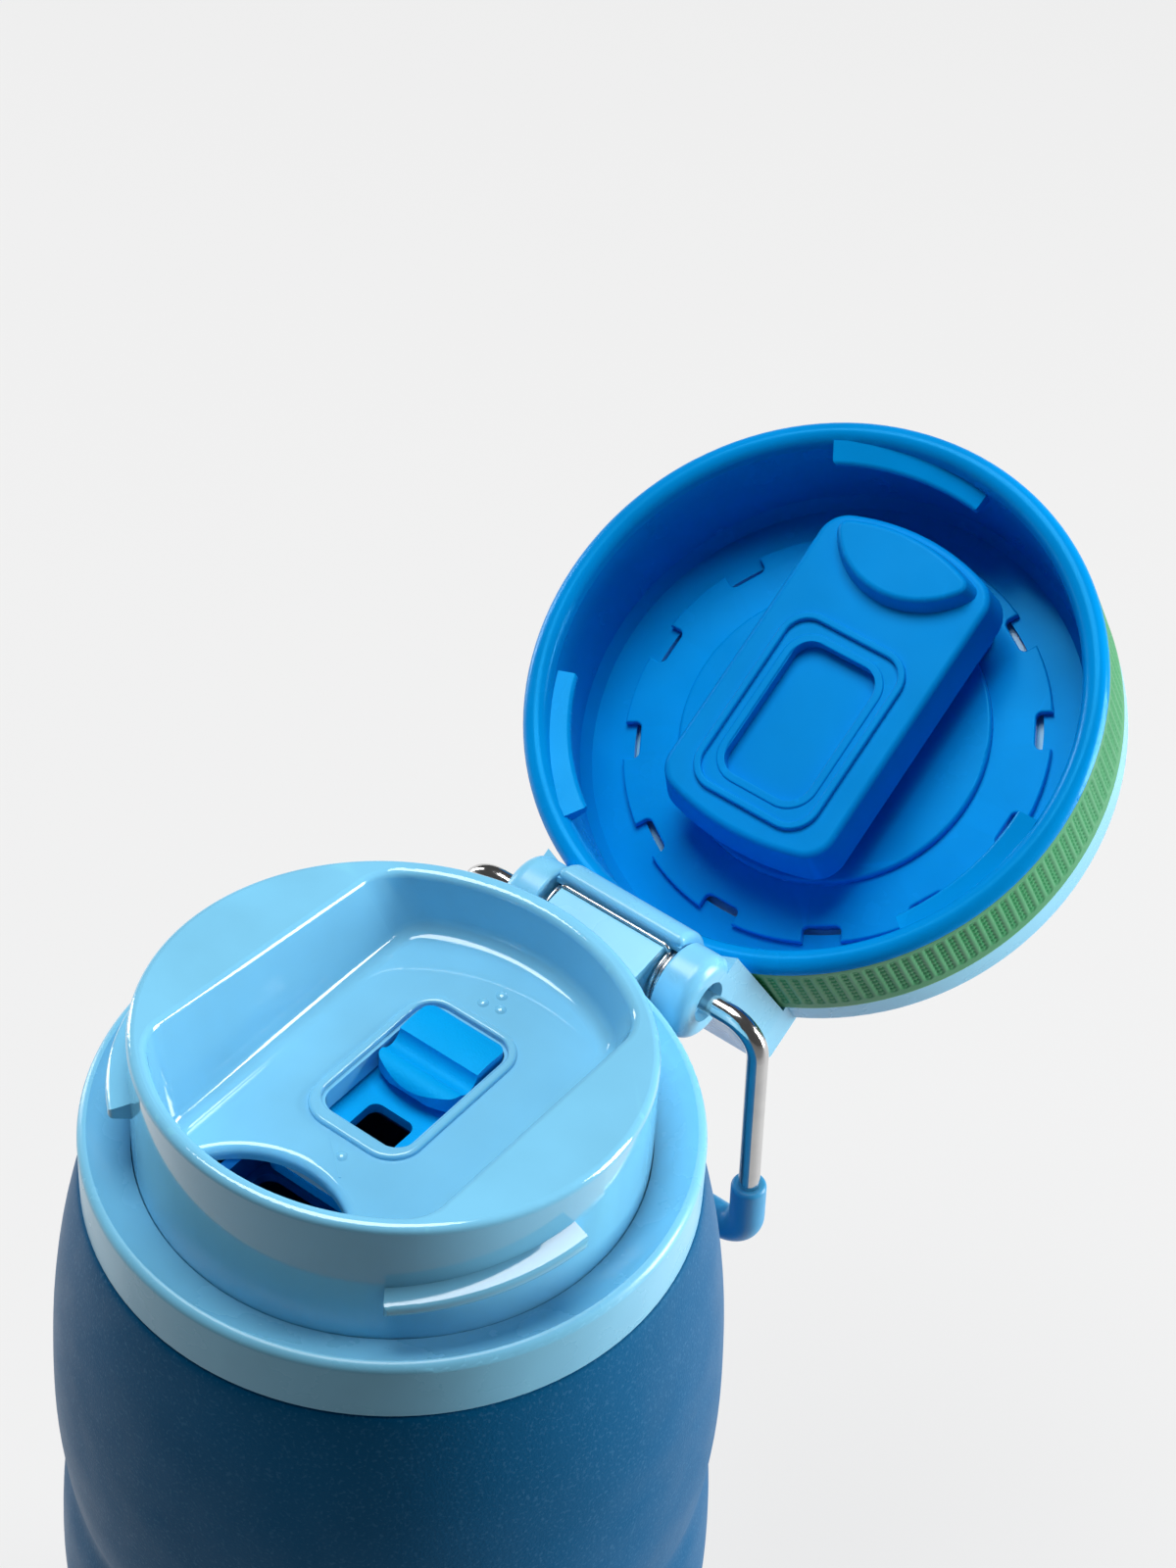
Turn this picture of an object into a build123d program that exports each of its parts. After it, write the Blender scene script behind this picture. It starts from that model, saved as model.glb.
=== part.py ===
"""Folding water bottle: a collapsible silicone body, a screw-on drinking lid with a
sliding flow control, and a sprung flip cap with a locking ring and a wire carry bail.

Millimetres, +Z up. The origin is the centre of the base. The mouth faces -Y and the
hinge is at +Y. The cap group is drawn closed, then turned about the hinge to its open
rest position.
"""

import os
from math import asin, cos, degrees, hypot, radians, sin

from build123d import *

os.makedirs("parts", exist_ok=True)

# ---------------------------------------------------------------- driving dimensions
clearance = 0.3  # between pieces that move past each other

# silicone body
body_height = 150.0  # floor to the lower edge of the collar
waist_radius = 43.7
bulge_radius = 45.1
foot_radius = 40.5
wall = 2.6
base_top = 24.0  # the stiff cup at the bottom ends here
neck_bottom = body_height - 24.0  # the stiff shoulder starts here
neck_radius = 40.2

# collar and screw neck
collar_radius = 40.0
collar_height = 9.2
sleeve_radius = 32.4
thread_pitch = 5.0
thread_depth = 1.1
thread_turns = 0.75

# drinking lid
spout_radius = 33.2
rim_height = 24.7  # above the collar's lower edge, at the centre
rim_tilt = 4.4  # degrees; the mouth side stands higher
deck_height = 13.5
deck_thickness = 2.0
window_width = 13.6
window_length = 22.4
window_y = 4.2
border_y = 3.8

# hinge
hinge_y = 46.0
hinge_height = 4.5  # above the collar's lower edge
open_angle = 150.0
knuckle_radius = 6.2
barrel_half = 10.4
hood_radius = 7.3
knuckle_end = 16.1
tube_radius = 2.3

# cap, closed, heights above the collar's lower edge
cap_radius = 41.6
lip_height = 10.7
cap_floor = 28.0
cap_top = 32.6
band_bottom = 12.2
band_top = 26.0
wall_radius = 37.8  # inside of the lock ring
hub_radius = 22.8
band_depth = 1.8

# bayonet ribs
rib_count = 3
rib_sweep = 43.0  # degrees
rib_rise = 2.7
rib_start = -52.0
ring_turn = 50.0  # from unlocked to locked

# bail
wire_radius = 1.5
leg_x = 24.5
bail_reach = 43.6
grip_radius = 2.5

hinge_z = body_height + hinge_height
hinge_axis = Axis((0, hinge_y, hinge_z), (-1, 0, 0))
written = []


def at(height):
    """Height above the floor of a level given above the collar's lower edge."""
    return body_height + height


def write(part, name):
    """Labels a finished piece and writes its STEP file."""
    part.label = name
    export_step(part, f"parts/{name}.step")
    written.append(name)


def write_open(part, name):
    """Turns a piece of the closed cap to the open rest position and writes it."""
    write(part.rotate(hinge_axis, open_angle), name)


def helical_rib(radius, depth, thickness, pitch, sweep_deg, start_deg, bottom, rounding=0.0):
    """A rib that climbs round the Z axis; radius is its root and bottom its lowest level
    at the start. A negative depth grows inwards. The rounding softens the crest."""
    root = -0.5 if depth > 0 else 0.6
    flare = 0.25
    section = [
        (root, -flare),
        (depth, thickness * 0.22),
        (depth, thickness * 0.78),
        (root, thickness + flare),
    ]
    if depth < 0:
        section.reverse()
    with BuildPart() as rib:
        with BuildLine():
            path = Helix(pitch, pitch * sweep_deg / 360, radius)
        with BuildSketch(Plane(origin=(radius, 0, 0), x_dir=(1, 0, 0), z_dir=(0, -1, 0))):
            with BuildLine():
                Polyline(*section, close=True)
            make_face()
        sweep(path=path, is_frenet=True)
        if rounding:
            crest = radius + depth
            fillet([edge for edge in rib.edges() if lies_at(edge, crest)], rounding)
    return rib.part.rotate(Axis.Z, start_deg).moved(Location((0, 0, bottom)))


def lies_at(edge, radius):
    """Whether both ends of an edge are that far from the Z axis."""
    return all(abs(hypot(corner.X, corner.Y) - radius) < 0.05 for corner in edge.vertices())


# ---------------------------------------------------------------- silicone body
def silicone_base():
    """Stiff cup at the bottom of the body, with a flat foot."""
    heel = 6.0
    floor_thickness = 4.0
    with BuildPart() as base:
        with BuildSketch(Plane.XZ):
            with BuildLine():
                Line((0, 0), (foot_radius - heel, 0))
                RadiusArc((foot_radius - heel, 0), (foot_radius + 0.6, heel), -heel - 0.8)
                Spline(
                    (foot_radius + 0.6, heel),
                    (42.6, 13.5),
                    (waist_radius, base_top),
                    tangents=((0.1, 1), (0.06, 1)),
                )
                Polyline(
                    (waist_radius, base_top),
                    (waist_radius - wall, base_top),
                    (42.6 - wall, 13.5),
                    (36.0, floor_thickness + 2),
                    (30.0, floor_thickness),
                    (0, floor_thickness),
                    (0, 0),
                )
            make_face()
        revolve(axis=Axis.Z)
    write(base.part, "silicone_base")


def silicone_bellows():
    """The folding stretch: two soft convolutions between the base and the shoulder."""
    levels = (
        (waist_radius, base_top),
        (bulge_radius, base_top + 18),
        (waist_radius, base_top + 38),
        (bulge_radius + 0.3, base_top + 56),
        (waist_radius + 0.3, base_top + 73),
        (bulge_radius, body_height - 37),
        (44.5, neck_bottom),
    )
    inner = [(radius - wall, level) for radius, level in levels]
    with BuildPart() as bellows:
        with BuildSketch(Plane.XZ):
            with BuildLine():
                outer = Spline(*levels)
                inside = Spline(*inner)
                Line(outer @ 1, inside @ 1)
                Line(inside @ 0, outer @ 0)
            make_face()
        revolve(axis=Axis.Z)
    write(bellows.part, "silicone_bellows")


def silicone_neck():
    """Stiff conical shoulder moulded round the threaded neck ring."""
    insert_radius = 36.8
    with BuildPart() as neck:
        with BuildSketch(Plane.XZ):
            with BuildLine():
                Polyline((44.5 - wall, neck_bottom), (44.5, neck_bottom))
                Spline(
                    (44.5, neck_bottom),
                    (43.6, at(-17)),
                    (neck_radius, at(-clearance)),
                    tangents=((-0.03, 1), (-0.15, 1)),
                )
                Polyline(
                    (neck_radius, at(-clearance)),
                    (insert_radius, at(-clearance)),
                    (insert_radius, at(-15)),
                    (44.5 - wall, neck_bottom),
                )
            make_face()
        revolve(axis=Axis.Z)
    write(neck.part, "silicone_neck")


def neck_ring():
    """Rigid ring in the mouth of the body, threaded inside."""
    inner_radius = sleeve_radius + clearance + thread_depth + clearance
    with BuildPart() as ring:
        with BuildSketch(Plane.XZ):
            with BuildLine():
                Polyline(
                    (inner_radius, at(-14.8)),
                    (36.8, at(-14.8)),
                    (36.8, at(-2.2)),
                    (inner_radius, at(-2.2)),
                    close=True,
                )
            make_face()
        revolve(axis=Axis.Z)
        add(
            helical_rib(
                inner_radius,
                -thread_depth - clearance + 0.1,
                1.5,
                thread_pitch,
                thread_turns * 360,
                0,
                at(-11.5),
            )
        )
    write(ring.part, "neck_ring")


def neck_gasket():
    """Flat silicone ring that seals the collar to the neck ring."""
    with BuildPart() as gasket:
        with BuildSketch(Plane.XY.offset(at(-1.9))):
            Circle(36.4)
            Circle(sleeve_radius + 0.4, mode=Mode.SUBTRACT)
        extrude(amount=1.6)
        fillet(gasket.edges(), 0.5)
    write(gasket.part, "neck_gasket")


# ---------------------------------------------------------------- collar
def collar():
    """Outer ring with a dished top, the threaded sleeve that screws into the neck, and
    the hinge barrel."""
    sleeve_bottom = -14.0
    sleeve_bore = 30.2
    seat = 4.0
    spout_bore = spout_radius + 0.1
    lug_half = 8.6
    spring_pocket = 5.0
    hood_front = 0.7
    with BuildPart() as body:
        with BuildSketch(Plane.XZ):
            with BuildLine():
                Polyline(
                    (spout_bore, at(6.4)),
                    (spout_bore, at(seat)),
                    (sleeve_bore, at(seat)),
                    (sleeve_bore, at(sleeve_bottom)),
                    (sleeve_radius, at(sleeve_bottom)),
                    (sleeve_radius, at(0)),
                    (collar_radius, at(0)),
                    (collar_radius, at(collar_height - 1.2)),
                )
                RadiusArc(
                    (collar_radius, at(collar_height - 1.2)),
                    (collar_radius - 1.2, at(collar_height)),
                    -1.2,
                )
                ThreePointArc(
                    (collar_radius - 1.2, at(collar_height)),
                    (36.4, at(7.4)),
                    (spout_bore, at(6.4)),
                )
            make_face()
        revolve(axis=Axis.Z)
        add(
            helical_rib(
                sleeve_radius,
                thread_depth,
                1.5,
                thread_pitch,
                thread_turns * 360,
                0,
                at(-11.5 - thread_pitch / 2),
            )
        )
        # hinge barrel with a raised hood over its back, and the lug that carries it
        with BuildSketch(Plane.YZ.offset(-barrel_half)):
            with Locations((hinge_y, hinge_z)):
                Circle(knuckle_radius - 0.3)
        extrude(amount=2 * barrel_half)
        add(hinge_hood(hood_front))
        with BuildSketch(Plane.YZ.offset(-lug_half)):
            with BuildLine():
                Polyline(
                    (collar_radius - 4, at(0.4)),
                    (hinge_y - 1, at(hinge_height - 5.6)),
                    (hinge_y - 1, at(hinge_height + 5.9)),
                    (collar_radius - 2, at(collar_height)),
                    (collar_radius - 4, at(collar_height - 2)),
                    close=True,
                )
            make_face()
        extrude(amount=2 * lug_half)
        # pockets for the spring coils, open at the front and hooded at the back
        for side in (-1, 1):
            with BuildSketch(Plane.YZ.offset(side * lug_half)):
                with Locations((hinge_y, hinge_z)):
                    Circle(spring_pocket)
                with Locations((hinge_y + hood_front - 5, hinge_z)):
                    Rectangle(10, 3 * knuckle_radius)
            extrude(amount=side * (barrel_half - lug_half + 0.1), mode=Mode.SUBTRACT)
        # slot for the spring's middle span
        with BuildSketch(Plane.YZ.offset(-barrel_half - 1)):
            with Locations((hinge_y + hood_front - 0.65, hinge_z + knuckle_radius)):
                Rectangle(1.3, 3.2)
        extrude(amount=2 * barrel_half + 2, mode=Mode.SUBTRACT)
        # bore for the hinge tube
        with BuildSketch(Plane.YZ.offset(-barrel_half - 1)):
            with Locations((hinge_y, hinge_z)):
                Circle(tube_radius + 0.06)
        extrude(amount=2 * barrel_half + 2, mode=Mode.SUBTRACT)
        # the lug ends at the wall of the spout
        with BuildSketch(Plane.XY.offset(at(seat))):
            Circle(spout_bore)
        extrude(amount=collar_height, mode=Mode.SUBTRACT)
    write(body.part, "collar")


def hinge_hood(front):
    """Rounded bar over the top and back of the hinge barrel."""
    with BuildPart() as hood:
        with BuildSketch(Plane.YZ.offset(-barrel_half)):
            Circle(hood_radius)
            with BuildLine():
                Polyline((front, 0), (front, 9), (-9, 9), (-9, -9), (9, -9), (9, -4), close=True)
            make_face(mode=Mode.SUBTRACT)
        extrude(amount=2 * barrel_half)
        fillet(hood.edges().filter_by(Axis.X).sort_by(Axis.Z)[-1], 0.9)
        fillet(hood.edges().filter_by(GeomType.CIRCLE), 0.9)
    return hood.part.moved(Location((0, hinge_y, hinge_z)))


# ---------------------------------------------------------------- drinking lid
def lid_recess():
    """The hollow above the deck: round front and back, flat sides that lean outwards,
    and soft corners all round."""
    top = 30.0
    deck_half = 17.2
    top_half = 24.6
    corner = 6.0
    floor_corner = 2.4
    with BuildPart() as recess:
        with BuildSketch(Plane.XZ):
            with BuildLine():
                Polyline(
                    (0, at(deck_height)),
                    (29.6, at(deck_height)),
                    (31.2, at(top)),
                    (0, at(top)),
                    close=True,
                )
            make_face()
        revolve(axis=Axis.Z)
        with BuildSketch(Plane.XZ.offset(-spout_radius)):
            with BuildLine():
                Polyline(
                    (-deck_half, at(deck_height)),
                    (deck_half, at(deck_height)),
                    (top_half, at(top)),
                    (-top_half, at(top)),
                    close=True,
                )
            make_face()
        extrude(amount=2 * spout_radius, mode=Mode.INTERSECT)
        middle = at((deck_height + top) / 2)
        fillet(recess.edges().filter_by_position(Axis.Z, middle - 1, middle + 1), corner)
        fillet(recess.faces().sort_by(Axis.Z)[0].edges(), floor_corner)
    return recess.part


def mouth_outline(radius, rear_radius):
    """The lens-shaped drinking hole against the front of the spout."""
    with BuildSketch() as outline:
        Circle(radius)
        with Locations((0, -30)):
            Circle(rear_radius, mode=Mode.INTERSECT)
        fillet(outline.vertices(), 1.5)
    return outline.sketch


def rounded_block(width, length, y, corner, bottom, top):
    """A rounded rectangle centred on a place along Y, between two levels."""
    with BuildPart() as block:
        with BuildSketch(Plane.XY.offset(at(bottom))):
            with Locations((0, y)):
                RectangleRounded(width, length, corner)
        extrude(amount=top - bottom)
    return block.part


def drinking_lid():
    """Glossy spout with a tilted rim, a sunken deck, the mouth, the slider window and
    the outer bayonet ribs."""
    foot = 4.0
    blank_top = 30.0
    rim_round = 1.0
    mouth_round = 1.2
    border_top = deck_height + 0.7
    deck_bottom = deck_height - deck_thickness
    rib_pitch = rib_rise / rib_sweep * 360
    with BuildPart() as lid:
        with BuildSketch(Plane.XY.offset(at(foot))):
            Circle(spout_radius)
        extrude(amount=blank_top - foot)
        add(lid_recess(), mode=Mode.SUBTRACT)
        split(bisect_by=Plane.XY.offset(at(rim_height)).rotated((-rim_tilt, 0, 0)), keep=Keep.BOTTOM)
        fillet(lid.faces().sort_by(Axis.Z)[-1].edges(), rim_round)
        # hollow under the deck
        with BuildSketch(Plane.XY.offset(at(foot - 1))):
            Circle(30.4)
        extrude(amount=deck_bottom - foot + 1, mode=Mode.SUBTRACT)
        # mouth, rounded where it meets the deck
        with BuildSketch(Plane.XY.offset(at(deck_bottom - 1))):
            add(mouth_outline(27.8, 14.0))
        extrude(amount=deck_thickness + 2, mode=Mode.SUBTRACT)
        deck_edges = lid.edges().filter_by_position(Axis.Z, at(deck_height), at(deck_height))
        fillet(deck_edges.filter_by_position(Axis.Y, -20, -14).sort_by(Edge.length)[-1], mouth_round)
        # raised border, ledge and opening of the slider window
        add(window_border(deck_height - 0.1, border_top))
        add(rounded_block(16.4, 25.2, window_y, 4.0, deck_bottom - 1.5, deck_height - 0.2))
        ledge = rounded_block(14.6, 23.4, window_y, 3.2, deck_height - 0.2, border_top + 1)
        add(ledge, mode=Mode.SUBTRACT)
        opening = rounded_block(window_width, window_length, window_y, 2.6, 5.0, deck_height)
        add(opening, mode=Mode.SUBTRACT)
        for index in range(rib_count):
            start = rib_start + index * 360 / rib_count
            add(helical_rib(spout_radius, 2.8, 2.6, rib_pitch, rib_sweep, start, at(13.3), 0.6))
        add(deck_marks())
    write(lid.part, "drinking_lid")


def window_border(bottom, top):
    """Raised ring round the slider window, with a rounded crest."""
    with BuildPart() as border:
        add(rounded_block(17.0, 26.8, border_y, 4.6, bottom, top))
        add(rounded_block(14.6, 23.4, window_y, 3.2, bottom - 1, top + 1), mode=Mode.SUBTRACT)
        fillet(border.faces().sort_by(Axis.Z)[-1].edges(), 0.45)
    return border.part


def deck_marks():
    """Small raised domes behind the window, and a dome on a thin line at the mouth."""
    dome_radius = 1.1
    dome_height = 0.35
    dome_level = at(deck_height + dome_height - dome_radius)
    with BuildPart() as marks:
        for x, y in ((-1.5, 19.7), (-0.4, 22.2), (1.0, 20.2), (1.6, -12.0)):
            with Locations((x, y, dome_level)):
                Sphere(dome_radius)
        with BuildSketch(Plane.XY.offset(at(deck_height - 0.1))):
            with Locations(Location((1.1, -12.6), -40)):
                SlotOverall(7.0, 0.3)
        extrude(amount=0.2)
    return marks.part


def slider():
    """Thumb tab with a scooped grip, on a foot plate that slides under the deck."""
    half_width = (window_width - 0.8) / 2
    rear = window_y + window_length / 2 - 0.4
    front = rear - 12.6
    plate_bottom = 8.0
    plate_top = 9.6
    with BuildPart() as tab:
        # thumb tab in profile: rear pad, scoop and a lower rounded lip
        with BuildSketch(Plane.YZ.offset(-half_width)):
            with BuildLine():
                Polyline(
                    (front + 0.4, at(11.2)),
                    (front + 3.0, at(10.6)),
                    (front + 3.0, at(plate_top - 0.2)),
                    (rear, at(plate_top - 0.2)),
                    (rear, at(14.0)),
                )
                ThreePointArc((rear, at(14.0)), (rear - 3.0, at(14.5)), (rear - 6.2, at(14.3)))
                ThreePointArc((rear - 6.2, at(14.3)), (rear - 7.9, at(12.6)), (rear - 9.4, at(13.3)))
                ThreePointArc((rear - 9.4, at(13.3)), (front + 1.4, at(13.4)), (front, at(12.4)))
                Line((front, at(12.4)), (front + 0.4, at(11.2)))
            make_face()
        extrude(amount=2 * half_width)
        # the lip bows forward in plan
        with BuildSketch(Plane.XY.offset(at(plate_bottom))):
            with BuildLine():
                ThreePointArc((-half_width, front + 1.9), (0, front), (half_width, front + 1.9))
                Polyline(
                    (half_width, front + 1.9),
                    (half_width, rear),
                    (-half_width, rear),
                    (-half_width, front + 1.9),
                )
            make_face()
            fillet(vertices(), 1.6)
        extrude(amount=10, mode=Mode.INTERSECT)
        # foot plate with its flow hole
        add(rounded_block(16.6, 31.0, 0.0, 2.0, plate_bottom, plate_top))
        add(rounded_block(7.0, 6.0, -2.6, 1.4, plate_bottom - 1, plate_top + 1), mode=Mode.SUBTRACT)
    write(tab.part, "slider")


def slider_seal():
    """Silicone pad on the front of the foot plate, under the deck."""
    with BuildPart() as seal:
        with BuildSketch(Plane.XY.offset(at(9.6))):
            with Locations((0, -12.3)):
                RectangleRounded(15.0, 6.0, 1.6)
        extrude(amount=1.6)
        fillet(seal.faces().sort_by(Axis.Z)[-1].edges(), 0.6)
    write(seal.part, "slider_seal")


def slider_tray():
    """Channel under the deck that guides the foot plate, with a pouring hole."""
    with BuildPart() as tray:
        with BuildSketch(Plane.XY.offset(at(6.0))):
            with Locations((0, -3.0)):
                RectangleRounded(20.4, 46.0, 3.0)
        extrude(amount=5.5)
        with BuildSketch(Plane.XY.offset(at(7.4))):
            with Locations((0, -3.0)):
                RectangleRounded(17.4, 43.0, 2.2)
        extrude(amount=5, mode=Mode.SUBTRACT)
        with BuildSketch(Plane.XY.offset(at(5))):
            with Locations((0, -3.0)):
                RectangleRounded(11.0, 9.0, 2.0)
            with Locations((0, -20.0)):
                RectangleRounded(15.0, 9.0, 2.0)
        extrude(amount=3, mode=Mode.SUBTRACT)
    write(tray.part, "slider_tray")


# ---------------------------------------------------------------- cap (drawn closed)
def lid_frame():
    """Top disc of the cap with the two hinge arms, their knuckles and the web."""
    arm_back = hinge_y - 0.4
    arm_half = knuckle_end + 1.2
    disc_bottom = 30.4
    skirt_bottom = band_top + clearance
    hole_radius = 3.0
    hole_depth = 1.7
    with BuildPart() as frame:
        with BuildSketch(Plane.XY.offset(at(skirt_bottom))):
            Circle(cap_radius - 0.2)
        extrude(amount=cap_top - skirt_bottom)
        fillet(frame.edges().group_by(Axis.Z)[-1], 1.8)
        # arms and web, a little wider at the disc
        with BuildSketch(Plane.XZ.offset(-arm_back)):
            with BuildLine():
                Polyline(
                    (knuckle_end, hinge_z),
                    (arm_half, at(skirt_bottom)),
                    (arm_half, at(cap_top - 0.6)),
                    (-arm_half, at(cap_top - 0.6)),
                    (-arm_half, at(skirt_bottom)),
                    (-knuckle_end, hinge_z),
                    close=True,
                )
            make_face()
        extrude(amount=arm_back - 30)
        back_face = frame.faces().filter_by(Axis.Y).sort_by(Axis.Y)[-1]
        fillet(back_face.edges().sort_by(Axis.Z)[1:], 2.0)
        # room for the lock ring and the band
        with BuildSketch(Plane.XY.offset(at(-10))):
            Circle(cap_radius + 0.5)
        extrude(amount=skirt_bottom + 10, mode=Mode.SUBTRACT)
        with BuildSketch(Plane.XY.offset(at(skirt_bottom - 1))):
            Circle(39.2)
        extrude(amount=disc_bottom - skirt_bottom + 1, mode=Mode.SUBTRACT)
        # knuckles, rounded outside
        for side in (-1, 1):
            add(hinge_knuckle(side))
        # room for the barrel, the hood and the spring between the knuckles
        with BuildSketch(Plane.YZ.offset(-barrel_half - 0.2)):
            with Locations((hinge_y, hinge_z)):
                Circle(hood_radius + 0.5)
            with Locations((hinge_y, hinge_z - 6)):
                Rectangle(30, 18)
        extrude(amount=2 * barrel_half + 0.4, mode=Mode.SUBTRACT)
        # bores for the hinge tube, wider at their outer ends
        with BuildSketch(Plane.YZ.offset(-knuckle_end - 1)):
            with Locations((hinge_y, hinge_z)):
                Circle(tube_radius)
        extrude(amount=2 * knuckle_end + 2, mode=Mode.SUBTRACT)
        for side in (-1, 1):
            with BuildSketch(Plane.YZ.offset(side * (knuckle_end - hole_depth))):
                with Locations((hinge_y, hinge_z)):
                    Circle(hole_radius)
            extrude(amount=side * (hole_depth + 1), mode=Mode.SUBTRACT)
    write_open(frame.part, "lid_frame")


def hinge_knuckle(side):
    """Round end of a hinge arm, beside the barrel."""
    inner_end = barrel_half + 0.2
    with BuildPart() as knuckle:
        with BuildSketch(Plane.YZ.offset(side * inner_end)):
            with Locations((hinge_y, hinge_z)):
                Circle(knuckle_radius)
        extrude(amount=side * (knuckle_end - inner_end))
        rims = knuckle.edges().sort_by(Axis.X)
        fillet(rims[-1 if side > 0 else 0], 2.0)
        fillet(rims[0 if side > 0 else -1], 0.5)
    return knuckle.part


def lock_ring():
    """Turning ring of the cap: rounded lip, inner bayonet ribs and a thin upper flange."""
    flange_bottom = cap_floor + 1.2
    rib_pitch = rib_rise / rib_sweep * 360
    ring_rib_sweep = 36.0
    ring_rib_bottom = 11.4
    ring_rib_start = rib_start + rib_sweep / 2 - ring_rib_sweep / 2 + ring_turn
    with BuildPart() as ring:
        with BuildSketch(Plane.XZ):
            with BuildLine():
                Polyline(
                    (cap_radius, at(band_bottom)),
                    (cap_radius - band_depth, at(band_bottom)),
                    (cap_radius - band_depth, at(band_top)),
                    (38.8, at(band_top)),
                    (38.8, at(flange_bottom + 0.9)),
                    (29.8, at(flange_bottom + 0.9)),
                    (29.8, at(flange_bottom)),
                    (wall_radius - 1.6, at(flange_bottom)),
                    (wall_radius - 0.4, at(cap_floor - 1)),
                    (wall_radius, at(lip_height + 2)),
                    (wall_radius + 0.2, at(lip_height + 1.4)),
                )
                ThreePointArc(
                    (wall_radius + 0.2, at(lip_height + 1.4)),
                    ((wall_radius + cap_radius) / 2, at(lip_height)),
                    (cap_radius, at(lip_height + 1.4)),
                )
                Line((cap_radius, at(lip_height + 1.4)), (cap_radius, at(band_bottom)))
            make_face()
        revolve(axis=Axis.Z)
        for index in range(rib_count):
            start = ring_rib_start + index * 360 / rib_count
            add(
                helical_rib(
                    wall_radius,
                    -2.8,
                    2.0,
                    rib_pitch,
                    ring_rib_sweep,
                    start,
                    at(ring_rib_bottom),
                    0.6,
                )
            )
    write_open(ring.part, "lock_ring")


def grip_band():
    """Soft band round the lock ring."""
    with BuildPart() as band:
        with BuildSketch(Plane.XY.offset(at(band_bottom))):
            Circle(cap_radius)
            Circle(cap_radius - band_depth, mode=Mode.SUBTRACT)
        extrude(amount=band_top - band_bottom)
    write_open(band.part, "grip_band")


def retainer_plate():
    """Notched plate that holds the lock ring to the frame; forms the cap's floor."""
    plate_radius = 31.3
    notch_count = 12
    with BuildPart() as plate:
        with BuildSketch(Plane.XY.offset(at(cap_floor))):
            Circle(plate_radius)
            Circle(hub_radius, mode=Mode.SUBTRACT)
            with PolarLocations(plate_radius - 0.4, notch_count):
                RectangleRounded(4.2, 5.6, 0.9, mode=Mode.SUBTRACT)
        extrude(amount=1.0)
        fillet(plate.faces().sort_by(Axis.Z)[0].outer_wire().edges(), 0.3)
        with BuildSketch(Plane.XY.offset(at(cap_floor + 1.0))):
            Circle(28.6)
            Circle(hub_radius, mode=Mode.SUBTRACT)
        extrude(amount=1.4)
    write_open(plate.part, "retainer_plate")


def tongue_outline(half_width, front, rear, corner):
    """Plan of the sealing tongue: straight sides, arched ends."""
    with BuildSketch() as outline:
        with BuildLine():
            ThreePointArc((-half_width, front + 3.2), (0, front), (half_width, front + 3.2))
            Line((half_width, front + 3.2), (half_width, rear - 2.6))
            ThreePointArc((half_width, rear - 2.6), (0, rear), (-half_width, rear - 2.6))
            Line((-half_width, rear - 2.6), (-half_width, front + 3.2))
        make_face()
        fillet(outline.vertices(), corner)
    return outline.sketch


def plug_hub():
    """Disc in the middle of the cap and the block that carries the silicone tongue."""
    disc_bottom = cap_floor - 1.2
    with BuildPart() as hub:
        with BuildSketch(Plane.XY.offset(at(disc_bottom))):
            Circle(hub_radius - 0.02)
        extrude(amount=3.6)
        fillet(hub.edges().sort_by(Axis.Z)[0], 0.5)
        with BuildSketch(Plane.XY.offset(at(17.4))):
            add(tongue_outline(12.6, -27.2, 20.8, 3.2))
        extrude(amount=disc_bottom - 17.4 + 0.5)
    write_open(hub.part, "plug_hub")


def mouth_plug(root, tip):
    """Soft lens-shaped plug for the mouth."""
    with BuildPart() as plug:
        with BuildSketch(Plane.XY.offset(at(root))):
            add(mouth_outline(27.3, 13.5))
        with BuildSketch(Plane.XY.offset(at(tip))):
            add(mouth_outline(26.4, 12.8))
        loft()
        fillet(plug.faces().sort_by(Axis.Z)[0].edges(), 0.8)
    return plug.part


def seal_ring(width, length, thickness, root, tip):
    """Raised rounded ring that seals round the border of the slider window."""
    bore_width = width - 2 * thickness
    bore_length = length - 2 * thickness
    with BuildPart() as ring:
        add(rounded_block(width, length, border_y, 4.6, tip, root))
        add(rounded_block(bore_width, bore_length, border_y, 3.5, tip - 1, root + 1), mode=Mode.SUBTRACT)
        fillet(ring.faces().sort_by(Axis.Z)[0].edges(), 0.3)
    return ring.part


def seal_tongue():
    """Silicone sleeve over the block: a plug for the mouth, and a double ring with a
    recess that closes over the slider window."""
    face = 14.7
    skirt = 21.2
    with BuildPart() as tongue:
        with BuildSketch(Plane.XY.offset(at(face))):
            add(tongue_outline(14.0, -28.3, 22.2, 4.5))
        with BuildSketch(Plane.XY.offset(at(skirt))):
            add(tongue_outline(15.0, -28.9, 23.2, 4.8))
        loft()
        fillet(tongue.faces().sort_by(Axis.Z)[0].edges(), 1.0)
        fillet(tongue.faces().sort_by(Axis.Z)[-1].edges(), 0.4)
        with BuildSketch(Plane.XY.offset(at(17.4))):
            add(tongue_outline(12.6, -27.2, 20.8, 3.2))
        extrude(amount=5, mode=Mode.SUBTRACT)
        add(mouth_plug(face + 0.2, 11.9))
        add(seal_ring(20.6, 29.8, 1.1, face + 0.1, face - 0.8))
        add(seal_ring(16.4, 24.8, 1.3, face + 0.1, face - 0.25))
        recess = rounded_block(window_width, window_length, border_y, 3.0, face - 1, face + 1.9)
        add(recess, mode=Mode.SUBTRACT)
    write_open(tongue.part, "seal_tongue")


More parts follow.
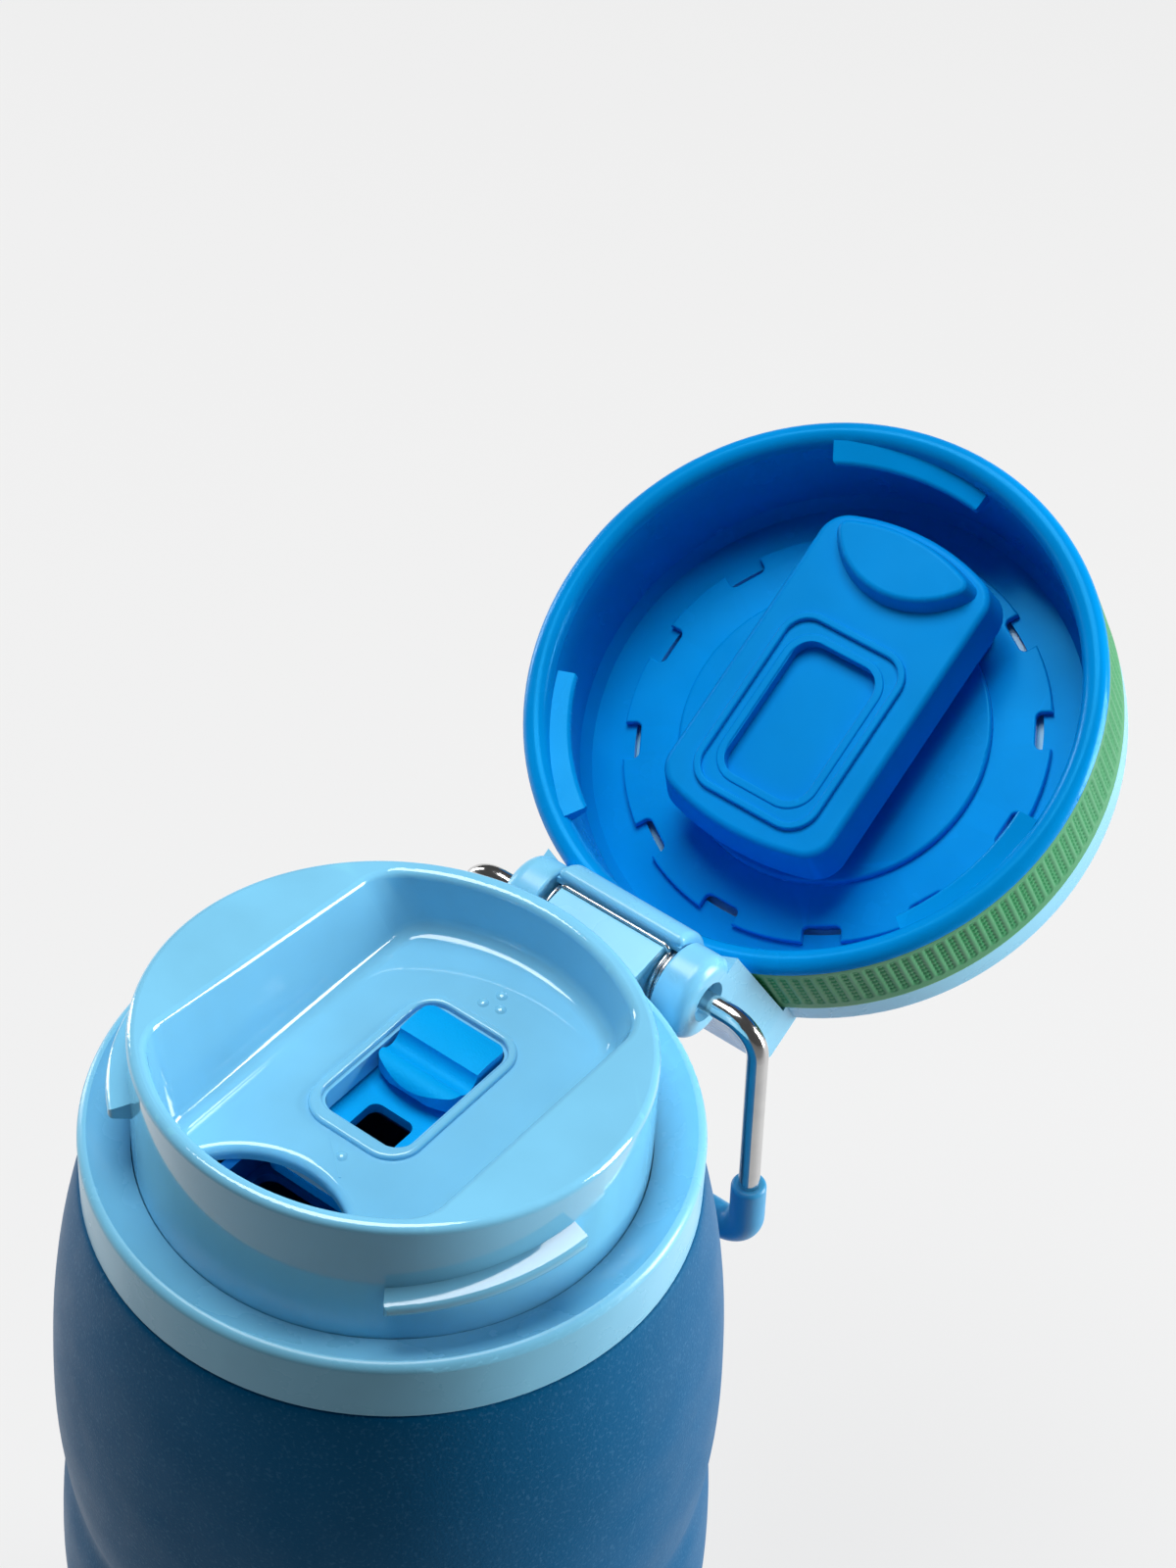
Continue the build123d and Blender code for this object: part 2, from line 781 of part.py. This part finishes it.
# ---------------------------------------------------------------- hinge hardware
def hinge_tube():
    """Steel tube through the knuckles and the barrel; the bail's ends turn inside it."""
    tube_half = knuckle_end - 1.6
    with BuildPart() as tube:
        with BuildSketch(Plane.YZ.offset(-tube_half)):
            with Locations((hinge_y, hinge_z)):
                Circle(tube_radius)
                Circle(wire_radius + 0.05, mode=Mode.SUBTRACT)
        extrude(amount=2 * tube_half)
    write(tube.part, "hinge_tube")


def torsion_spring():
    """Double torsion spring: a coil at each end of the barrel, joined by a middle span."""
    coil_radius = 4.35
    wire = 0.35
    coil_pitch = 0.75
    coil_turns = 1.25
    coil_start = 9.05
    span_height = 5.75
    with BuildPart() as coil:
        with BuildLine():
            turns = Helix(coil_pitch, coil_pitch * coil_turns, coil_radius)
        with BuildSketch(Plane(origin=turns @ 0, z_dir=turns % 0)):
            Circle(wire)
        sweep(path=turns, is_frenet=True)
    with BuildPart() as spring:
        for side in (-1, 1):
            end_plane = Plane(
                origin=(side * coil_start, hinge_y, hinge_z), x_dir=(0, 0, 1), z_dir=(side, 0, 0)
            )
            add(coil.part.moved(end_plane.location))
        with BuildLine():
            bridge = FilletPolyline(
                (-coil_start, hinge_y, hinge_z + coil_radius),
                (-coil_start, hinge_y, hinge_z + span_height),
                (coil_start, hinge_y, hinge_z + span_height),
                (coil_start, hinge_y, hinge_z + coil_radius),
                radius=0.9,
            )
        with BuildSketch(Plane(origin=bridge @ 0, z_dir=bridge % 0)):
            Circle(wire)
        sweep(path=bridge)
    write(spring.part, "torsion_spring")


def bail_plane():
    """Plane of the hanging bail: local X along the hinge, local Y down the legs. The
    grip rests just clear of the bulge of the body."""
    tilt = degrees(asin((bulge_radius + 0.8 + grip_radius - hinge_y) / bail_reach))
    down = (0, sin(radians(tilt)), -cos(radians(tilt)))
    normal = (0, -cos(radians(tilt)), -sin(radians(tilt)))
    return Plane(origin=(0, hinge_y, hinge_z), x_dir=(-1, 0, 0), z_dir=normal), down


def bail_wire():
    """Steel wire bent into a loop, its two ends turned into the hinge tube."""
    bend = 5.0
    corner = 4.6
    end_x = 7.0
    plane, _ = bail_plane()
    with BuildPart() as bail:
        with BuildLine(plane):
            path = FilletPolyline(
                (end_x, 0),
                (leg_x, 0),
                (leg_x, bail_reach),
                (-leg_x, bail_reach),
                (-leg_x, 0),
                (-end_x, 0),
                radius=[bend, corner, corner, bend],
            )
        with BuildSketch(Plane(origin=path @ 0, z_dir=path % 0)):
            Circle(wire_radius)
        sweep(path=path)
    write(bail.part, "bail_wire")


def bail_grip():
    """Moulded sleeve over the lower bar and corners of the bail."""
    corner = 4.6
    boot = 11.5
    plane, _ = bail_plane()
    with BuildPart() as grip:
        with BuildLine(plane):
            path = FilletPolyline(
                (leg_x, bail_reach - boot),
                (leg_x, bail_reach),
                (-leg_x, bail_reach),
                (-leg_x, bail_reach - boot),
                radius=corner,
            )
        with BuildSketch(Plane(origin=path @ 0, z_dir=path % 0)):
            Circle(grip_radius)
            Circle(wire_radius, mode=Mode.SUBTRACT)
        sweep(path=path)
        for end in grip.faces().filter_by(GeomType.PLANE):
            fillet(end.outer_wire().edges(), 0.7)
    write(grip.part, "bail_grip")


silicone_base()
silicone_bellows()
silicone_neck()
neck_ring()
neck_gasket()
collar()
drinking_lid()
slider()
slider_seal()
slider_tray()
lid_frame()
lock_ring()
grip_band()
retainer_plate()
plug_hub()
seal_tongue()
hinge_tube()
torsion_spring()
bail_wire()
bail_grip()
print(len(written), "pieces")
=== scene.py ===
from math import cos, pi, radians, sin

import bmesh
import bpy
from mathutils import Matrix, Vector


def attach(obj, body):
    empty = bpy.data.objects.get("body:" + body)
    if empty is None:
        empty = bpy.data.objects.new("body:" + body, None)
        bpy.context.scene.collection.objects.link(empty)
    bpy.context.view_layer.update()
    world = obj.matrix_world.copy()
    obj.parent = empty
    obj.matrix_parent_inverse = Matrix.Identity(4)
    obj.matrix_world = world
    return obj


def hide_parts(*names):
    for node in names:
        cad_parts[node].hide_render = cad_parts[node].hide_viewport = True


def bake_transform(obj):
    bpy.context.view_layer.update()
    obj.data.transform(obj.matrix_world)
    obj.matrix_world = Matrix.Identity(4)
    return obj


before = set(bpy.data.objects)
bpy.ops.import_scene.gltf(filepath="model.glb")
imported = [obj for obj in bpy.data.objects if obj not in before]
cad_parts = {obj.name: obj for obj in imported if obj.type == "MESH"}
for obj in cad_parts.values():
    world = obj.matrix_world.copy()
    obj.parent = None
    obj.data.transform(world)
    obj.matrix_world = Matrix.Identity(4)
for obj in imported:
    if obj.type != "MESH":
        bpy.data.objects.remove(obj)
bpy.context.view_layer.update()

MM = 0.001
COLLAR = 150.0  # mm: level of the collar's lower edge, from which cap and lid heights are given
HINGE = Vector((0, 46.0, COLLAR + 4.5))
OPEN_ANGLE = radians(150)
BLUE_GLOSS = (0.03, 0.55, 1.0, 1.0)  # tint of the highlights on the saturated blue pieces


# ---------------------------------------------------------------- small helpers
def srgb(red, green, blue):
    """Linear colour of an 8-bit sRGB colour."""

    def linear(channel):
        value = channel / 255
        return value / 12.92 if value <= 0.04045 else ((value + 0.055) / 1.055) ** 2.4

    return (linear(red), linear(green), linear(blue), 1.0)


def scaled(colour, factor):
    """The same colour, lighter or darker."""
    return tuple(min(1.0, channel * factor) for channel in colour[:3]) + (1.0,)


class Shader:
    """A principled material with helpers for the nodes that paint it."""

    def __init__(self, name):
        self.material = bpy.data.materials.new(name)
        self.material.use_nodes = True
        self.tree = self.material.node_tree
        self.surface = self.tree.nodes["Principled BSDF"]
        self.place = self.node("ShaderNodeTexCoord").outputs["Object"]

    def node(self, kind, **values):
        """Adds a node and sets its properties."""
        made = self.tree.nodes.new(kind)
        for key, value in values.items():
            setattr(made, key, value)
        return made

    def link(self, source, target):
        self.tree.links.new(source, target)

    def set(self, **values):
        """Sets sockets of the surface; underscores stand for the spaces in their names."""
        for key, value in values.items():
            self.surface.inputs[key.replace("_", " ")].default_value = value

    def noise(self, size_mm, detail=2.0, roughness=0.5):
        """Noise whose features are about size_mm across."""
        made = self.node("ShaderNodeTexNoise")
        made.inputs["Scale"].default_value = 1 / (size_mm * MM)
        made.inputs["Detail"].default_value = detail
        made.inputs["Roughness"].default_value = roughness
        self.link(self.place, made.inputs["Vector"])
        return made.outputs["Fac"]

    def ramp(self, source, low, high, start=0.0, end=1.0):
        """Remaps start..end of the source to low..high."""
        made = self.node("ShaderNodeMapRange")
        for key, value in (("From Min", start), ("From Max", end), ("To Min", low), ("To Max", high)):
            made.inputs[key].default_value = value
        self.link(source, made.inputs["Value"])
        return made.outputs["Result"]

    def mix(self, factor, first, second):
        """Colour mix; first and second are colours or sockets."""
        made = self.node("ShaderNodeMix", data_type="RGBA")
        self.link(factor, made.inputs["Factor"])
        for name, value in (("A", first), ("B", second)):
            socket = [s for s in made.inputs if s.name == name and s.type == "RGBA"][0]
            if isinstance(value, tuple):
                socket.default_value = value
            else:
                self.link(value, socket)
        return [s for s in made.outputs if s.type == "RGBA"][0]

    def edges(self):
        """1 on worn convex edges, 0 elsewhere."""
        geometry = self.node("ShaderNodeNewGeometry")
        return self.ramp(geometry.outputs["Pointiness"], 0.0, 1.0, 0.53, 0.6)

    def bump(self, height, distance_mm):
        """Adds a bump of that height to the surface, on top of any earlier one."""
        made = self.node("ShaderNodeBump")
        made.inputs["Strength"].default_value = 1.0
        made.inputs["Distance"].default_value = distance_mm * MM
        self.link(height, made.inputs["Height"])
        earlier = self.surface.inputs["Normal"].links
        if earlier:
            self.link(earlier[0].from_socket, made.inputs["Normal"])
        self.link(made.outputs["Normal"], self.surface.inputs["Normal"])

    def paint(self, colour):
        """Links the base colour."""
        self.link(colour, self.surface.inputs["Base Color"])

    def dull(self, roughness):
        """Links the roughness."""
        self.link(roughness, self.surface.inputs["Roughness"])


# ---------------------------------------------------------------- materials
def moulded_plastic(name, colour, roughness, grain_mm=0.35, grain=0.004, shift=0.05):
    """Moulded plastic: faint colour drift, slightly uneven gloss and a fine grain."""
    shader = Shader(name)
    drift = shader.noise(18.0, 3.0)
    tone = shader.mix(
        shader.ramp(drift, 0, 1, 0.35, 0.65), scaled(colour, 1 - shift), scaled(colour, 1 + shift)
    )
    shader.paint(shader.mix(shader.ramp(shader.edges(), 0, 0.25), tone, scaled(colour, 1.35)))
    smear = shader.noise(7.0, 4.0)
    shader.dull(shader.ramp(smear, roughness * 0.85, roughness * 1.2, 0.3, 0.7))
    shader.bump(shader.noise(grain_mm, 2.0), grain)
    shader.set(IOR=1.5)
    return shader


def glossy_lid():
    """Clear-coated light blue; the wavy grain breaks the reflections a little."""
    shader = moulded_plastic("lid_gloss", srgb(128, 206, 243), 0.06, grain_mm=6.0, grain=0.006)
    shader.set(Coat_Weight=0.6, Coat_Roughness=0.04)
    return shader.material


def satin_collar():
    """Satin light blue of the collar, the hinge and the cap's disc."""
    return moulded_plastic("collar_plastic", srgb(128, 205, 240), 0.26).material


def bright_cap():
    """Bright blue of the cap's inside."""
    shader = moulded_plastic("cap_blue", srgb(0, 146, 226), 0.24)
    shader.set(Specular_IOR_Level=0.4, Specular_Tint=BLUE_GLOSS)
    return shader.material


def shaded_tray_blue():
    """The same blue, dulled and darkened as painted shade, in the depth of the slider window."""
    shader = moulded_plastic("tray_blue_painted_shade", srgb(0, 70, 140), 0.4)
    shader.set(Specular_Tint=BLUE_GLOSS)
    return shader.material


def thumb_slider():
    """Fine spark-eroded texture."""
    shader = moulded_plastic("slider_blue", srgb(0, 160, 236), 0.45, grain_mm=0.28, grain=0.05)
    shader.set(Specular_Tint=BLUE_GLOSS)
    return shader.material


def soft_tongue():
    """Satin bright blue silicone."""
    shader = moulded_plastic("tongue_silicone", srgb(0, 142, 226), 0.42, grain_mm=0.8, grain=0.004)
    shader.set(Specular_IOR_Level=0.4, Specular_Tint=BLUE_GLOSS)
    return shader.material


def body_silicone():
    """Matte silicone with a fine powdery speckle and a soft sheen at grazing angles."""
    shader = Shader("body_silicone")
    colour = srgb(0, 92, 142)
    drift = shader.noise(30.0, 3.0)
    tone = shader.mix(shader.ramp(drift, 0, 1, 0.35, 0.65), scaled(colour, 0.93), scaled(colour, 1.06))
    speck = shader.ramp(shader.noise(0.5, 1.0), 0, 1, 0.56, 0.72)
    shader.paint(shader.mix(shader.ramp(speck, 0, 0.35), tone, srgb(70, 130, 176)))
    shader.dull(shader.ramp(shader.noise(9.0, 3.0), 0.52, 0.66, 0.3, 0.7))
    shader.bump(shader.noise(0.4, 3.0), 0.04)
    shader.set(IOR=1.42, Specular_Tint=BLUE_GLOSS, Sheen_Weight=0.12, Sheen_Roughness=0.3)
    return shader.material


def band_rubber():
    """Muted green lands; the slots between them are painted a darker, deeper green as painted shade."""
    shader = Shader("band_green")
    land = srgb(66, 150, 100)
    slot_shade = srgb(0, 142, 78)
    depth = shader.node("ShaderNodeAttribute", attribute_name="depth").outputs["Fac"]
    drift = shader.noise(12.0, 3.0)
    tone = shader.mix(shader.ramp(drift, 0, 1, 0.35, 0.65), scaled(land, 0.94), scaled(land, 1.06))
    # painted shade: the slot floors take the darker, deeper green, less of it on the bumps
    shader.paint(shader.mix(depth, tone, slot_shade))
    shader.dull(shader.ramp(shader.noise(5.0, 3.0), 0.5, 0.62, 0.3, 0.7))
    shader.bump(shader.noise(0.3, 2.0), 0.01)
    return shader.material


def polished_steel(name, roughness):
    """Drawn steel with a faintly uneven polish."""
    shader = Shader(name)
    tone = shader.mix(shader.noise(4.0, 3.0), srgb(196, 196, 198), srgb(224, 223, 221))
    shader.paint(tone)
    scratch = shader.noise(0.5, 4.0, 0.7)
    shader.dull(shader.ramp(scratch, roughness * 0.7, roughness * 1.5, 0.35, 0.65))
    shader.bump(shader.noise(0.9, 3.0), 0.002)
    shader.set(Metallic=1.0)
    return shader.material


def grip_plastic():
    """Mid blue sleeve of the bail."""
    return moulded_plastic("grip_plastic", srgb(60, 160, 212), 0.38).material


def neck_plastic():
    """Light blue of the threaded neck ring."""
    return moulded_plastic("neck_plastic", srgb(122, 198, 240), 0.4).material


def gasket_silicone():
    """Pale silicone of the two seals."""
    return moulded_plastic("gasket_silicone", srgb(206, 214, 220), 0.5).material


# ---------------------------------------------------------------- meshes
def add_mesh(name, points, faces, material):
    """A smooth mesh object from points in millimetres."""
    mesh = bpy.data.meshes.new(name)
    mesh.from_pydata([Vector(p) * MM for p in points], [], faces)
    mesh.materials.append(material)
    mesh.shade_smooth()
    mesh.update()
    piece = bpy.data.objects.new(name, mesh)
    bpy.context.scene.collection.objects.link(piece)
    return piece


def loop_faces(columns, rows, close_rows=False):
    """Quads of a grid that closes round its columns, and over its rows if asked."""
    faces = []
    for column in range(columns):
        beside = (column + 1) % columns
        for row in range(rows if close_rows else rows - 1):
            above = (row + 1) % rows
            faces.append(
                (
                    column * rows + row,
                    beside * rows + row,
                    beside * rows + above,
                    column * rows + above,
                )
            )
    return faces


def smooth_step(start, end, value):
    """0 before start, 1 after end and a soft rise between them."""
    t = min(1.0, max(0.0, (value - start) / (end - start)))
    return t * t * (3 - 2 * t)


def catmull(points, steps):
    """Points on a smooth curve through the given (radius, level) points."""
    curve = []
    for index in range(len(points) - 1):
        before = points[max(0, index - 1)]
        start = points[index]
        end = points[index + 1]
        after = points[min(len(points) - 1, index + 2)]
        for step in range(steps):
            t = step / steps
            curve.append(
                tuple(
                    0.5
                    * (
                        2 * start[k]
                        + (end[k] - before[k]) * t
                        + (2 * before[k] - 5 * start[k] + 4 * end[k] - after[k]) * t * t
                        + (3 * start[k] - before[k] - 3 * end[k] + after[k]) * t**3
                    )
                    for k in range(2)
                )
            )
    curve.append(points[-1])
    return curve


def silicone_body(material):
    """The whole silicone body as one moulding, with soft folds that run right round it."""
    wall = 2.6
    columns = 192
    widest = 45.4
    fold_depth = 1.9
    extra_dip = 0.5
    deepest_at = radians(215)
    heel = [(0.0, 0.0), (20.0, 0.0), (33.5, 0.0), (36.5, 0.3), (39.0, 1.6), (40.7, 4.0), (41.4, 8.0)]
    folds = [
        (42.4, 15.0),
        (43.9, 22.0),
        (44.9, 31.0),
        (45.1, 40.0),
        (44.5, 49.0),
        (43.5, 55.5),
        (44.3, 61.0),
        (45.2, 70.0),
        (45.35, 78.0),
        (44.9, 88.0),
        (44.1, 94.5),
        (44.6, 99.0),
        (45.05, 106.0),
        (45.05, 113.0),
    ]
    shoulder = [(44.6, 123.0), (43.9, 130.5), (42.9, 137.5), (41.7, 143.5), (40.5, 148.6), (39.9, 149.6)]
    outer = catmull(heel + folds + shoulder, 6)
    inner = [
        (37.2, 149.6),
        (36.9, 135.0),
        (42.4 - wall / 2, 124.0),
        (45.0 - wall, 110.0),
        (44.0 - wall, 94.0),
        (45.2 - wall, 75.0),
        (43.6 - wall, 55.0),
        (45.0 - wall, 38.0),
        (43.0 - wall, 20.0),
        (38.5, 8.0),
        (33.0, 4.2),
        (0.0, 4.0),
    ]
    profile = outer + catmull(inner, 4)
    points = []
    for column in range(columns):
        angle = 2 * pi * column / columns
        # the folds dip deeper on one side of the body than on the other
        dip = extra_dip * (0.5 + 0.5 * cos(angle - deepest_at))
        for radius, level in profile:
            fold = smooth_step(20, 40, level) * (1 - smooth_step(104, 118, level))
            reach = radius - dip * fold * (widest - radius) / fold_depth
            points.append((reach * cos(angle), reach * sin(angle), level))
    piece = add_mesh("silicone_body", points, loop_faces(columns, len(profile)), material)
    merge_close(piece)
    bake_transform(piece)
    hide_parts("silicone_base", "silicone_bellows", "silicone_neck")


def merge_close(piece):
    """Merges points that lie on each other, such as those on the axis."""
    mesh = bmesh.new()
    mesh.from_mesh(piece.data)
    bmesh.ops.remove_doubles(mesh, verts=mesh.verts, dist=1e-6)
    bmesh.ops.recalc_face_normals(mesh, faces=mesh.faces)
    mesh.to_mesh(piece.data)
    mesh.free()


def grip_band(material):
    """Green band: rounded slots round the ring, each with a column of small bumps. The
    depth attribute is 1 on the floor of a slot and 0 on the land; it carries the painted shade of the
    slots, less of it on the bumps."""
    slots = 153
    outer = 41.6
    inner = 39.8
    bottom = 12.2
    top = 26.0
    slot_half = 0.52
    slot_bottom = 13.4
    slot_top = 24.2
    slot_depth = 0.34
    bumps = 8
    bump_height = 0.85  # of the slot's depth
    bump_shade = 0.45  # how much of the slot's painted shade the bumps lose, which paints them lighter
    across = 9
    along = 60
    bump_step = (slot_top - slot_bottom) / bumps

    def sunk(sideways, level):
        """Depth below the land, 0 to 1, of a rounded slot."""
        low = slot_bottom + slot_half
        high = slot_top - slot_half
        past = max(0.0, low - level, level - high)
        distance = (sideways**2 + past**2) ** 0.5
        return 1 - smooth_step(slot_half - 0.16, slot_half + 0.04, distance)

    def raised(sideways, level):
        """Height of the bump at a place in the slot, 0 to 1."""
        phase = ((level - slot_bottom) / bump_step) % 1 - 0.5
        reach = (sideways / (slot_half * 0.85)) ** 2 + (phase / 0.5) ** 2
        return max(0.0, 1 - reach) ** 0.5

    levels = [bottom + (top - bottom) * row / along for row in range(along + 1)]
    points = []
    depths = []
    pitch = 2 * pi / slots
    columns = slots * across
    for column in range(columns):
        angle = column * pitch / across
        sideways = ((column % across) / across - 0.5) * pitch * outer
        ring = [(inner, bottom, 0.0)]
        for level in levels:
            sink = sunk(sideways, level)
            lift = raised(sideways, level) * sink
            radius = outer - slot_depth * (sink - bump_height * lift)
            # the third value is the painted shade of the slot, taken back in part on the bumps
            ring.append((radius, level, sink - bump_shade * lift))
        ring.append((inner, top, 0.0))
        for radius, level, sink in ring:
            points.append((radius * cos(angle), radius * sin(angle), COLLAR + level))
            depths.append(sink)
    rows = along + 3
    piece = add_mesh("grip_band_bumps", points, loop_faces(columns, rows, True), material)
    attribute = piece.data.attributes.new("depth", "FLOAT", "POINT")
    attribute.data.foreach_set("value", depths)
    turn_open(piece)
    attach(piece, "lock_ring")
    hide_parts("grip_band")


def turn_open(piece):
    """Turns a mesh drawn on the closed cap to the open rest position."""
    pivot = Matrix.Translation(HINGE * MM)
    turn = Matrix.Rotation(-OPEN_ANGLE, 4, "X")
    piece.data.transform(pivot @ turn @ pivot.inverted())


# ---------------------------------------------------------------- finishes of the CAD nodes
def finish_nodes():
    """Gives each CAD node that still shows its finish."""
    light_blue = satin_collar()
    blue = bright_cap()
    gasket = gasket_silicone()
    finishes = {
        "collar": light_blue,
        "lid_frame": light_blue,
        "drinking_lid": glossy_lid(),
        "slider": thumb_slider(),
        # the tray's darker blue is painted shade
        "slider_tray": shaded_tray_blue(),
        "lock_ring": blue,
        "retainer_plate": blue,
        "plug_hub": blue,
        "seal_tongue": soft_tongue(),
        "slider_seal": gasket,
        "neck_gasket": gasket,
        "neck_ring": neck_plastic(),
        "hinge_tube": polished_steel("steel_tube", 0.2),
        "bail_wire": polished_steel("steel", 0.12),
        "torsion_spring": polished_steel("spring_steel", 0.22),
        "bail_grip": grip_plastic(),
    }
    for name, material in finishes.items():
        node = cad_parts[name]
        node.data.materials.clear()
        node.data.materials.append(material)


# ---------------------------------------------------------------- stage
def add_floor():
    """A pale sheet of paper under the bottle that glows with painted light, bright behind the bottle and
    fading to a painted shade in front of it.
    """
    size = 6.0
    mesh = bpy.data.meshes.new("floor")
    mesh.from_pydata(
        [(-size, -size, 0), (size, -size, 0), (size, size, 0), (-size, size, 0)], [], [(0, 1, 2, 3)]
    )
    shader = Shader("floor_glowing_paper")
    glow_colour = srgb(240, 240, 240)
    shader.paint(shader.mix(shader.noise(40.0, 2.0), srgb(98, 98, 98), srgb(100, 100, 100)))
    shader.set(Roughness=0.9, Specular_IOR_Level=0.0, Emission_Color=glow_colour)
    # painted light: the paper glows, brightest behind the bottle, and the glow falls off to a painted
    # shade in front of it
    along = shader.node("ShaderNodeVectorMath", operation="DOT_PRODUCT")
    shader.link(shader.place, along.inputs[0])
    along.inputs[1].default_value = (-0.579, 0.815, 0)
    glow = shader.ramp(along.outputs["Value"], 0.16, 0.86, -0.2, 0.03)
    shader.link(glow, shader.surface.inputs["Emission Strength"])
    mesh.materials.append(shader.material)
    floor = bpy.data.objects.new("floor", mesh)
    bpy.context.scene.collection.objects.link(floor)


def add_light(name, place, size, power, aim=(0, 0.02, 0.17)):
    """A soft rectangular studio light that looks at the lid."""
    light = bpy.data.lights.new(name, "AREA")
    light.shape = "RECTANGLE"
    light.size, light.size_y = size
    light.energy = power
    lamp = bpy.data.objects.new(name, light)
    lamp.location = place
    lamp.rotation_euler = (Vector(place) - Vector(aim)).to_track_quat("Z", "Y").to_euler()
    bpy.context.scene.collection.objects.link(lamp)


def add_lights():
    """A large light overhead, a strong low one behind at the right, a weak one at the left."""
    world = bpy.data.worlds.new("studio")
    world.use_nodes = True
    background = world.node_tree.nodes["Background"]
    background.inputs["Color"].default_value = srgb(240, 240, 240)
    background.inputs["Strength"].default_value = 0.09
    bpy.context.scene.world = world
    add_light("overhead", (-0.18, 0.12, 1.10), (0.6, 0.6), 8.5)
    add_light("right", (0.66, 0.58, 0.26), (0.3, 0.6), 9.0, aim=(0, 0, 0.12))
    add_light("left", (-0.80, 0.10, 0.22), (0.16, 0.5), 1.6, aim=(0, 0, 0.12))


def add_camera():
    """Looks down at the open lid from the front right."""
    place = Vector((0.20527, -0.25100, 0.52382))
    turn = radians(35.4)
    rise = radians(43.26)
    roll = radians(3.66)
    back = Vector((sin(turn) * cos(rise), -cos(turn) * cos(rise), sin(rise)))
    right = Vector((cos(turn), sin(turn), 0))
    up = back.cross(right)
    camera = bpy.data.cameras.new("camera")
    camera.lens = 87.82
    camera.sensor_width = 36.0
    camera.clip_start = 0.01
    view = bpy.data.objects.new("camera", camera)
    side = cos(roll) * right + sin(roll) * up
    top = -sin(roll) * right + cos(roll) * up
    axes = Matrix((side, top, back)).transposed().to_4x4()
    view.matrix_world = Matrix.Translation(place) @ axes
    bpy.context.scene.collection.objects.link(view)
    bpy.context.scene.camera = view


bpy.context.scene.view_settings.view_transform = "Standard"
finish_nodes()
silicone_body(body_silicone())
grip_band(band_rubber())
add_floor()
add_lights()
add_camera()
